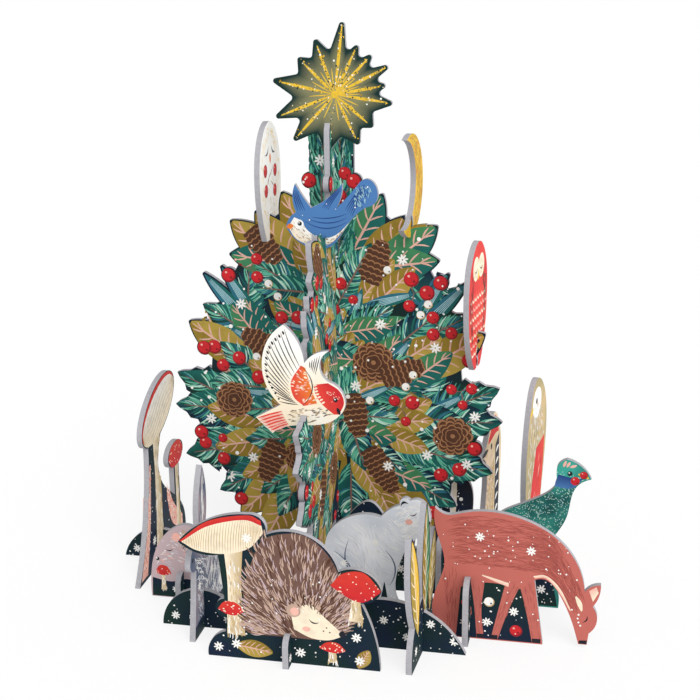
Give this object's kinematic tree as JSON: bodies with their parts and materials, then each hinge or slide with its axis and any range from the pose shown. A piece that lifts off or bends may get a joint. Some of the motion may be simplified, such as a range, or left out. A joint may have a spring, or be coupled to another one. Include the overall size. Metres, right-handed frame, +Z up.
{
  "type": "pop-up advent calendar",
  "caption": "Slot-together Christmas tree of crossing die-cut card panels with hanging ornaments and woodland figures on cross feet.",
  "frame": {"origin": "on the ground where the two tree panels cross", "axes": "+Z up along the line where the panels cross, +X to the right along the wide panel, -Y towards the viewer"},
  "size_m": [0.2706, 0.2215, 0.2989],
  "materials": {
    "tree_print": "matte",
    "star_print": "matte",
    "blue_print": "matte",
    "red_print": "matte",
    "cream_print": "matte",
    "gold_print": "matte",
    "hedgehog_print": "matte",
    "grey_print": "matte",
    "lilac_print": "matte",
    "salmon_print": "matte",
    "teal_print": "matte",
    "bird_print": "matte",
    "night_print": "matte"
  },
  "bodies": {
    "root": {"wide_tree_panel": "tree_print", "deep_tree_panel": "tree_print", "star": "star_print", "bluebird": "blue_print", "finch": "red_print", "red_owl": "red_print", "pale_owl": "cream_print", "tall_mushroom": "cream_print", "crescent_moon": "gold_print", "leaf_sprig": "gold_print", "hedgehog": "hedgehog_print", "bear": "grey_print", "hare": "grey_print", "dormouse": "lilac_print", "deer": "salmon_print", "crested_bird": "teal_print", "tall_bird": "bird_print", "woodpecker": "bird_print", "dotted_mound": "night_print", "right_mound": "night_print", "left_mound": "night_print", "badger": "night_print", "hedgehog_foot": "night_print", "bear_foot": "night_print", "deer_foot": "night_print", "dotted_mound_foot": "night_print", "dormouse_foot": "night_print", "crested_bird_foot": "night_print", "badger_foot": "night_print", "tall_mushroom_foot": "night_print", "tall_bird_foot": "night_print", "woodpecker_foot": "night_print"}
  },
  "joints": []
}
